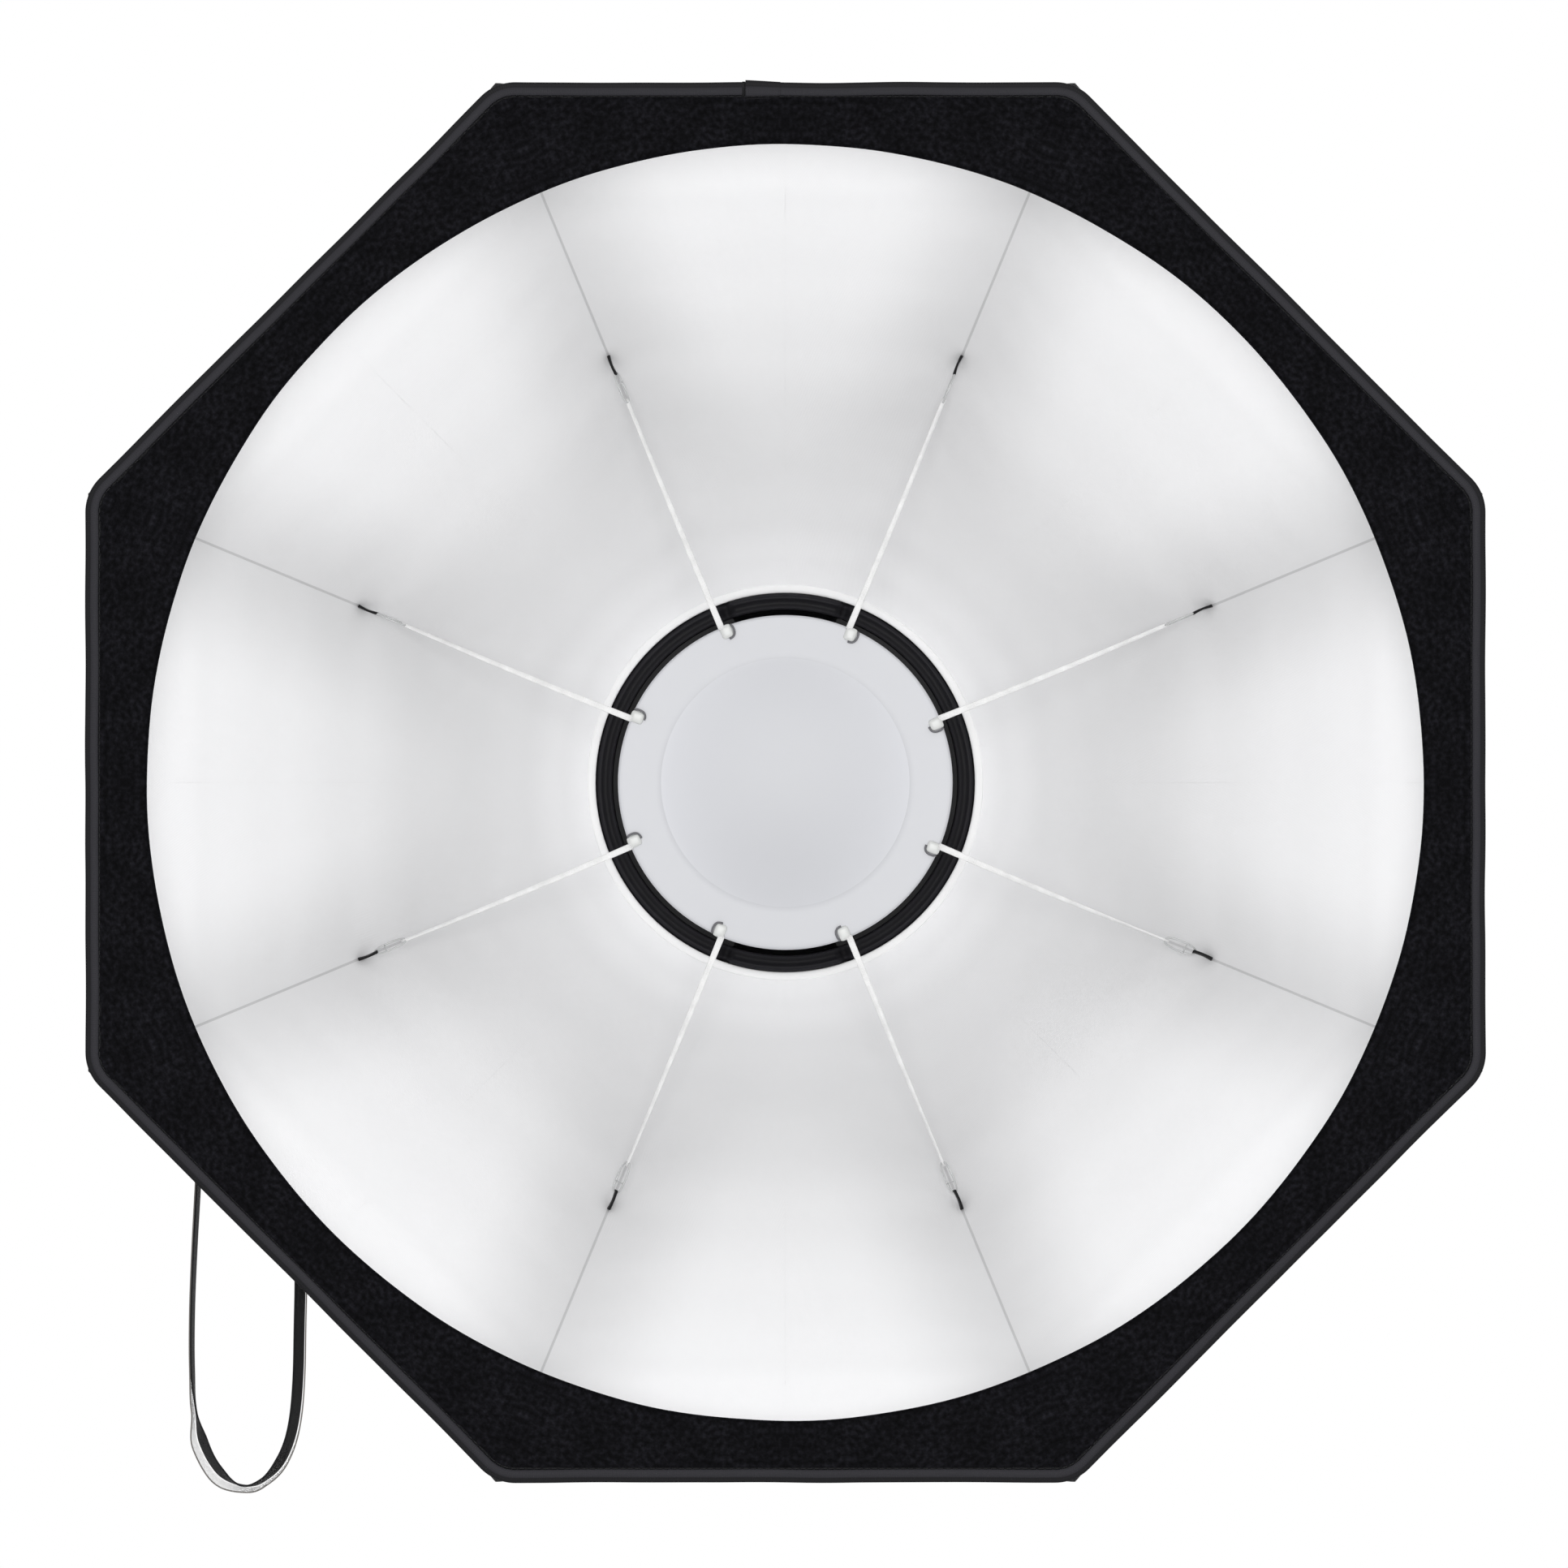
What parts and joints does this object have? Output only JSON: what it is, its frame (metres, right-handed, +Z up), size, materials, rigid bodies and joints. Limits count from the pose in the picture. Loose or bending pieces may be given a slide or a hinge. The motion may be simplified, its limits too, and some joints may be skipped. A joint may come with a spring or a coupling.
{
  "type": "studio softbox",
  "caption": "Folding octagonal studio softbox: a black fabric dish with a white lining, a speedring with a turning lamp insert, and a deflector disc hung on elastic cords.",
  "frame": {"origin": "on the lamp axis, in the plane of the speedring, at the centre of the lamp bore", "axes": "+Y along the lamp axis towards the lamp, so the open front faces -Y; +Z up, with two of the dish's sides level"},
  "size_m": [0.6358, 0.2357, 0.641],
  "materials": {
    "black_nylon": "woven nylon, slightly shiny",
    "white_satin": "white satin lining",
    "black_velour": "black velour loop pile",
    "black_webbing": "ribbed black webbing",
    "black_binding": "black binding tape",
    "elastic_white": "white elastic",
    "fibreglass": "pultruded fibreglass",
    "fitting_steel": "satin steel",
    "ring_black": "black powder coat",
    "insert_metal": "black anodised",
    "grip_rubber": "matt rubber",
    "disc_white": "satin white",
    "clip_white": "translucent white",
    "loop_clear": "clear plastic"
  },
  "bodies": {
    "lamp_insert": {"lamp_insert": "insert_metal", "grip_sleeve": "grip_rubber"},
    "speedring": {"speedring_body": "ring_black", "front_trim_ring": "ring_black", "rear_cover_ring": "ring_black", "hinge_pins": "fitting_steel", "cover_screws": "fitting_steel", "deflector_disc": "disc_white", "deflector_clips": "clip_white", "deflector_cords": "elastic_white"},
    "rod_1": {"support_rod_1": "fibreglass", "rod_fittings_1": "fitting_steel", "cord_anchor_1": "black_webbing", "front_band_1": "black_velour"},
    "rod_2": {"support_rod_2": "fibreglass", "rod_fittings_2": "fitting_steel", "cord_anchor_2": "black_webbing", "front_band_2": "black_velour"},
    "rod_3": {"support_rod_3": "fibreglass", "rod_fittings_3": "fitting_steel", "cord_anchor_3": "black_webbing", "front_band_3": "black_velour"},
    "rod_4": {"support_rod_4": "fibreglass", "rod_fittings_4": "fitting_steel", "cord_anchor_4": "black_webbing", "front_band_4": "black_velour"},
    "rod_5": {"support_rod_5": "fibreglass", "rod_fittings_5": "fitting_steel", "cord_anchor_5": "black_webbing", "front_band_5": "black_velour"},
    "rod_6": {"support_rod_6": "fibreglass", "rod_fittings_6": "fitting_steel", "cord_anchor_6": "black_webbing", "front_band_6": "black_velour"},
    "rod_7": {"support_rod_7": "fibreglass", "rod_fittings_7": "fitting_steel", "cord_anchor_7": "black_webbing", "front_band_7": "black_velour"},
    "rod_8": {"support_rod_8": "fibreglass", "rod_fittings_8": "fitting_steel", "cord_anchor_8": "black_webbing", "front_band_8": "black_velour"},
    "panel_1_ccw": {"canopy_panel_1_ccw": "black_nylon"},
    "panel_1_cw": {"canopy_panel_1_cw": "black_nylon"},
    "panel_2_ccw": {"canopy_panel_2_ccw": "black_nylon"},
    "panel_2_cw": {"canopy_panel_2_cw": "black_nylon"},
    "panel_3_ccw": {"canopy_panel_3_ccw": "black_nylon"},
    "panel_3_cw": {"canopy_panel_3_cw": "black_nylon"},
    "panel_4_ccw": {"canopy_panel_4_ccw": "black_nylon"},
    "panel_4_cw": {"canopy_panel_4_cw": "black_nylon"},
    "panel_5_ccw": {"canopy_panel_5_ccw": "black_nylon", "carry_strap": "black_webbing"},
    "panel_5_cw": {"canopy_panel_5_cw": "black_nylon"},
    "panel_6_ccw": {"canopy_panel_6_ccw": "black_nylon"},
    "panel_6_cw": {"canopy_panel_6_cw": "black_nylon"},
    "panel_7_ccw": {"canopy_panel_7_ccw": "black_nylon"},
    "panel_7_cw": {"canopy_panel_7_cw": "black_nylon"},
    "panel_8_ccw": {"canopy_panel_8_ccw": "black_nylon"},
    "panel_8_cw": {"canopy_panel_8_cw": "black_nylon"}
  },
  "joints": [
    {"name": "box_spin", "type": "hinge", "parent": "lamp_insert", "child": "speedring", "pos_m": [0, 0, 0], "axis": [0, 1, 0], "continuous": true},
    {"name": "rod_fold_1", "type": "hinge", "parent": "speedring", "child": "rod_1", "pos_m": [0.08962, -0.00249, 0.03712], "axis": [0.3827, 0, -0.9239], "range_deg": [0, 48], "deforming": ["canopy_panel_1_ccw", "canopy_panel_1_cw", "front_band_1", "deflector_cords"]},
    {"name": "rod_fold_2", "type": "hinge", "parent": "speedring", "child": "rod_2", "pos_m": [0.03712, -0.00249, 0.08962], "axis": [0.9239, 0, -0.3827], "range_deg": [0, 48], "deforming": ["canopy_panel_2_ccw", "canopy_panel_2_cw", "front_band_2"]},
    {"name": "rod_fold_3", "type": "hinge", "parent": "speedring", "child": "rod_3", "pos_m": [-0.03712, -0.00249, 0.08962], "axis": [0.9239, 0, 0.3827], "range_deg": [0, 48], "deforming": ["canopy_panel_3_ccw", "canopy_panel_3_cw", "front_band_3"]},
    {"name": "rod_fold_4", "type": "hinge", "parent": "speedring", "child": "rod_4", "pos_m": [-0.08962, -0.00249, 0.03712], "axis": [0.3827, 0, 0.9239], "range_deg": [0, 48], "deforming": ["canopy_panel_4_ccw", "canopy_panel_4_cw", "front_band_4"]},
    {"name": "rod_fold_5", "type": "hinge", "parent": "speedring", "child": "rod_5", "pos_m": [-0.08962, -0.00249, -0.03712], "axis": [-0.3827, 0, 0.9239], "range_deg": [0, 48], "deforming": ["canopy_panel_5_ccw", "canopy_panel_5_cw", "front_band_5", "carry_strap"]},
    {"name": "rod_fold_6", "type": "hinge", "parent": "speedring", "child": "rod_6", "pos_m": [-0.03712, -0.00249, -0.08962], "axis": [-0.9239, 0, 0.3827], "range_deg": [0, 48], "deforming": ["canopy_panel_6_ccw", "canopy_panel_6_cw", "front_band_6"]},
    {"name": "rod_fold_7", "type": "hinge", "parent": "speedring", "child": "rod_7", "pos_m": [0.03712, -0.00249, -0.08962], "axis": [-0.9239, 0, -0.3827], "range_deg": [0, 48], "deforming": ["canopy_panel_7_ccw", "canopy_panel_7_cw", "front_band_7"]},
    {"name": "rod_fold_8", "type": "hinge", "parent": "speedring", "child": "rod_8", "pos_m": [0.08962, -0.00249, -0.03712], "axis": [-0.3827, 0, -0.9239], "range_deg": [0, 48], "deforming": ["canopy_panel_8_ccw", "canopy_panel_8_cw", "front_band_8"]},
    {"name": "panel_turn_1_ccw", "type": "hinge", "parent": "rod_1", "child": "panel_1_ccw", "pos_m": [0.08223, -0.00249, 0.05495], "axis": [-0.0914, 0.1306, 0.9872], "range_deg": [0, 27.9]},
    {"name": "panel_turn_1_cw", "type": "hinge", "parent": "rod_1", "child": "panel_1_cw", "pos_m": [0.097, -0.00249, 0.01929], "axis": [-0.6334, -0.1306, 0.7627], "range_deg": [0, 27.9]},
    {"name": "panel_turn_2_ccw", "type": "hinge", "parent": "rod_2", "child": "panel_2_ccw", "pos_m": [0.01929, -0.00249, 0.097], "axis": [-0.7627, 0.1306, 0.6334], "range_deg": [0, 27.9]},
    {"name": "panel_turn_2_cw", "type": "hinge", "parent": "rod_2", "child": "panel_2_cw", "pos_m": [0.05495, -0.00249, 0.08223], "axis": [-0.9872, -0.1306, 0.0914], "range_deg": [0, 27.9]},
    {"name": "panel_turn_3_ccw", "type": "hinge", "parent": "rod_3", "child": "panel_3_ccw", "pos_m": [-0.05495, -0.00249, 0.08223], "axis": [-0.9872, 0.1306, -0.0914], "range_deg": [0, 27.9]},
    {"name": "panel_turn_3_cw", "type": "hinge", "parent": "rod_3", "child": "panel_3_cw", "pos_m": [-0.01929, -0.00249, 0.097], "axis": [-0.7627, -0.1306, -0.6334], "range_deg": [0, 27.9]},
    {"name": "panel_turn_4_ccw", "type": "hinge", "parent": "rod_4", "child": "panel_4_ccw", "pos_m": [-0.097, -0.00249, 0.01929], "axis": [-0.6334, 0.1306, -0.7627], "range_deg": [0, 27.9]},
    {"name": "panel_turn_4_cw", "type": "hinge", "parent": "rod_4", "child": "panel_4_cw", "pos_m": [-0.08223, -0.00249, 0.05495], "axis": [-0.0914, -0.1306, -0.9872], "range_deg": [0, 27.9]},
    {"name": "panel_turn_5_ccw", "type": "hinge", "parent": "rod_5", "child": "panel_5_ccw", "pos_m": [-0.08223, -0.00249, -0.05495], "axis": [0.0914, 0.1306, -0.9872], "range_deg": [0, 27.9]},
    {"name": "panel_turn_5_cw", "type": "hinge", "parent": "rod_5", "child": "panel_5_cw", "pos_m": [-0.097, -0.00249, -0.01929], "axis": [0.6334, -0.1306, -0.7627], "range_deg": [0, 27.9]},
    {"name": "panel_turn_6_ccw", "type": "hinge", "parent": "rod_6", "child": "panel_6_ccw", "pos_m": [-0.01929, -0.00249, -0.097], "axis": [0.7627, 0.1306, -0.6334], "range_deg": [0, 27.9]},
    {"name": "panel_turn_6_cw", "type": "hinge", "parent": "rod_6", "child": "panel_6_cw", "pos_m": [-0.05495, -0.00249, -0.08223], "axis": [0.9872, -0.1306, -0.0914], "range_deg": [0, 27.9]},
    {"name": "panel_turn_7_ccw", "type": "hinge", "parent": "rod_7", "child": "panel_7_ccw", "pos_m": [0.05495, -0.00249, -0.08223], "axis": [0.9872, 0.1306, 0.0914], "range_deg": [0, 27.9]},
    {"name": "panel_turn_7_cw", "type": "hinge", "parent": "rod_7", "child": "panel_7_cw", "pos_m": [0.01929, -0.00249, -0.097], "axis": [0.7627, -0.1306, 0.6334], "range_deg": [0, 27.9]},
    {"name": "panel_turn_8_ccw", "type": "hinge", "parent": "rod_8", "child": "panel_8_ccw", "pos_m": [0.097, -0.00249, -0.01929], "axis": [0.6334, 0.1306, 0.7627], "range_deg": [0, 27.9]},
    {"name": "panel_turn_8_cw", "type": "hinge", "parent": "rod_8", "child": "panel_8_cw", "pos_m": [0.08223, -0.00249, -0.05495], "axis": [0.0914, -0.1306, 0.9872], "range_deg": [0, 27.9]}
  ],
  "couplings": [
    {"joint": "rod_fold_2", "follows": "rod_fold_1", "ratio": 1},
    {"joint": "rod_fold_3", "follows": "rod_fold_1", "ratio": 1},
    {"joint": "rod_fold_4", "follows": "rod_fold_1", "ratio": 1},
    {"joint": "rod_fold_5", "follows": "rod_fold_1", "ratio": 1},
    {"joint": "rod_fold_6", "follows": "rod_fold_1", "ratio": 1},
    {"joint": "rod_fold_7", "follows": "rod_fold_1", "ratio": 1},
    {"joint": "rod_fold_8", "follows": "rod_fold_1", "ratio": 1},
    {"joint": "panel_turn_1_ccw", "follows": "rod_fold_1", "ratio": 0.58025},
    {"joint": "panel_turn_1_cw", "follows": "rod_fold_1", "ratio": 0.58025},
    {"joint": "panel_turn_2_ccw", "follows": "rod_fold_1", "ratio": 0.58025},
    {"joint": "panel_turn_2_cw", "follows": "rod_fold_1", "ratio": 0.58025},
    {"joint": "panel_turn_3_ccw", "follows": "rod_fold_1", "ratio": 0.58025},
    {"joint": "panel_turn_3_cw", "follows": "rod_fold_1", "ratio": 0.58025},
    {"joint": "panel_turn_4_ccw", "follows": "rod_fold_1", "ratio": 0.58025},
    {"joint": "panel_turn_4_cw", "follows": "rod_fold_1", "ratio": 0.58025},
    {"joint": "panel_turn_5_ccw", "follows": "rod_fold_1", "ratio": 0.58025},
    {"joint": "panel_turn_5_cw", "follows": "rod_fold_1", "ratio": 0.58025},
    {"joint": "panel_turn_6_ccw", "follows": "rod_fold_1", "ratio": 0.58025},
    {"joint": "panel_turn_6_cw", "follows": "rod_fold_1", "ratio": 0.58025},
    {"joint": "panel_turn_7_ccw", "follows": "rod_fold_1", "ratio": 0.58025},
    {"joint": "panel_turn_7_cw", "follows": "rod_fold_1", "ratio": 0.58025},
    {"joint": "panel_turn_8_ccw", "follows": "rod_fold_1", "ratio": 0.58025},
    {"joint": "panel_turn_8_cw", "follows": "rod_fold_1", "ratio": 0.58025}
  ]
}
